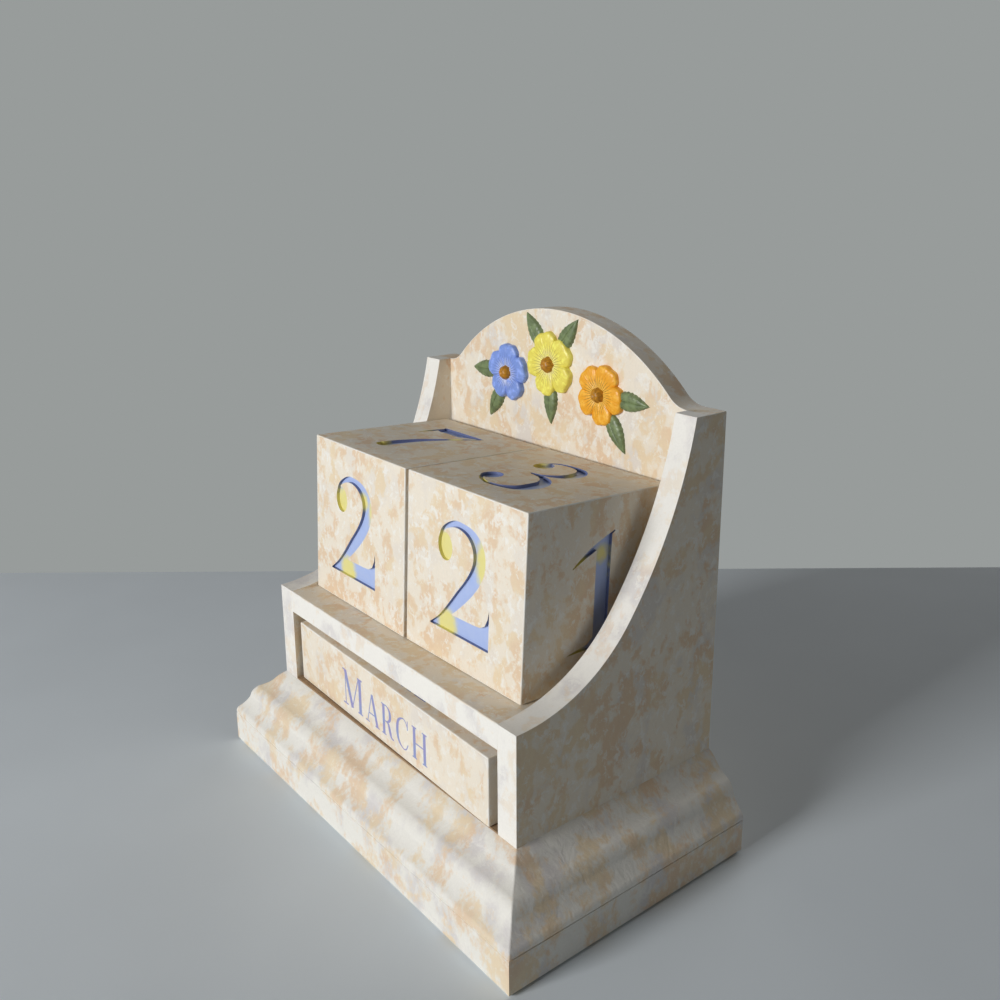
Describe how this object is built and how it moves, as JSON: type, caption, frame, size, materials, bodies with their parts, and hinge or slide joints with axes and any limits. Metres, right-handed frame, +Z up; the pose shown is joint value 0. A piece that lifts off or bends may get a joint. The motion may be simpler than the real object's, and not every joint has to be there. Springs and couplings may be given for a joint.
{
  "type": "desk calendar with drawer",
  "caption": "Perpetual block calendar for a desk: arched box on a stepped plinth, loose date cubes on a sloping shelf, loose month bars in the slot below.",
  "frame": {"origin": "middle of the footprint, on the surface that the calendar stands on", "axes": "+Z up, -Y towards the person who reads the date, +X to that person's right"},
  "size_m": [0.1312, 0.0758, 0.1318],
  "materials": {
    "stone_print_plinth": "fibreboard with a matt printed faux stone, soft edges",
    "stone_print_box": "fibreboard with a matt printed faux stone",
    "stone_print_cube": "fibreboard block with a matt printed faux stone and engraved, painted numerals",
    "stone_print_bar": "fibreboard bar with a matt printed faux stone and a printed month",
    "blue_relief": "cast resin, hand-painted, satin",
    "yellow_relief": "cast resin, hand-painted, satin",
    "amber_relief": "cast resin, hand-painted, satin",
    "leaf_relief": "cast resin, hand-painted, satin",
    "zinc_steel": "zinc-plated",
    "bright_steel": "bright"
  },
  "bodies": {
    "stand": {"base_slab": "stone_print_plinth", "plinth_core": "stone_print_box", "moulding_front": "stone_print_plinth", "moulding_left": "stone_print_plinth", "moulding_right": "stone_print_plinth", "side_panel_left": "stone_print_box", "side_panel_right": "stone_print_box", "back_panel": "stone_print_box", "shelf": "stone_print_box", "flower_blue": "blue_relief", "flower_yellow": "yellow_relief", "flower_amber": "amber_relief", "leaves": "leaf_relief", "slab_screws": "zinc_steel", "pin_nails": "bright_steel"},
    "date_cube_left": {"date_cube_left": "stone_print_cube"},
    "date_cube_right": {"date_cube_right": "stone_print_cube"},
    "month_bar_front": {"month_bar_front": "stone_print_bar"},
    "month_bar_middle": {"month_bar_middle": "stone_print_bar"},
    "month_bar_rear": {"month_bar_rear": "stone_print_bar"}
  },
  "joints": [
    {"name": "left_cube_lift", "type": "slide", "parent": "stand", "child": "date_cube_left", "axis": [0, -0.7071, 0.7071], "range_m": [0, 0.08]},
    {"name": "right_cube_lift", "type": "slide", "parent": "stand", "child": "date_cube_right", "axis": [0, -0.7071, 0.7071], "range_m": [0, 0.08]},
    {"name": "front_bar_slide", "type": "slide", "parent": "stand", "child": "month_bar_front", "axis": [0, -1, 0], "range_m": [0, 0.067]},
    {"name": "middle_bar_slide", "type": "slide", "parent": "stand", "child": "month_bar_middle", "axis": [0, -1, 0], "range_m": [0, 0.067]},
    {"name": "rear_bar_slide", "type": "slide", "parent": "stand", "child": "month_bar_rear", "axis": [0, -1, 0], "range_m": [0, 0.067]}
  ],
  "couplings": [
    {"joint": "middle_bar_slide", "follows": "front_bar_slide", "ratio": 1},
    {"joint": "rear_bar_slide", "follows": "front_bar_slide", "ratio": 1}
  ]
}
